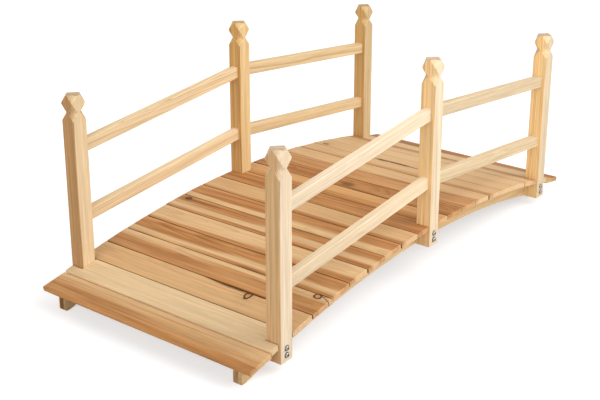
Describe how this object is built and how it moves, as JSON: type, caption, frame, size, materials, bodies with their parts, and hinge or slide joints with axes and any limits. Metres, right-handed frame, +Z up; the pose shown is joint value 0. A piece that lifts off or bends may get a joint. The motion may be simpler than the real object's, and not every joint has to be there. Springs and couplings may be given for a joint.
{
  "type": "arched garden footbridge",
  "caption": "Small arched timber footbridge for a garden: cross planks on curved stringers, low rails between square posts with faceted heads.",
  "frame": {"origin": "on the ground under the crown of the arch, midway between the two rows of posts", "axes": "+X along the walkway, +Y to the left of a person walking towards +X, +Z up"},
  "size_m": [1.4826, 0.68, 0.5905],
  "materials": {
    "deck_timber": "planed softwood, clear oil, sapwood and heartwood mixed",
    "beam_timber": "bandsawn softwood, clear oil",
    "rail_timber": "planed softwood, clear oil"
  },
  "bodies": {
    "root": {"deck_plank_01": "deck_timber", "deck_plank_02": "deck_timber", "deck_plank_03": "deck_timber", "deck_plank_04": "deck_timber", "deck_plank_05": "deck_timber", "deck_plank_06": "deck_timber", "deck_plank_07": "deck_timber", "deck_plank_08": "deck_timber", "deck_plank_09": "deck_timber", "deck_plank_10": "deck_timber", "deck_plank_11": "deck_timber", "deck_plank_12": "deck_timber", "deck_plank_13": "deck_timber", "deck_plank_14": "deck_timber", "deck_plank_15": "deck_timber", "deck_plank_16": "deck_timber", "deck_plank_17": "deck_timber", "deck_plank_18": "deck_timber", "deck_plank_19": "deck_timber", "deck_plank_20": "deck_timber", "left_stringer": "beam_timber", "right_stringer": "beam_timber", "left_front_post": "rail_timber", "left_middle_post": "rail_timber", "left_back_post": "rail_timber", "right_front_post": "rail_timber", "right_middle_post": "rail_timber", "right_back_post": "rail_timber", "left_front_upper_rail": "rail_timber", "left_front_lower_rail": "rail_timber", "left_back_upper_rail": "rail_timber", "left_back_lower_rail": "rail_timber", "right_front_upper_rail": "rail_timber", "right_front_lower_rail": "rail_timber", "right_back_upper_rail": "rail_timber", "right_back_lower_rail": "rail_timber"}
  },
  "joints": []
}
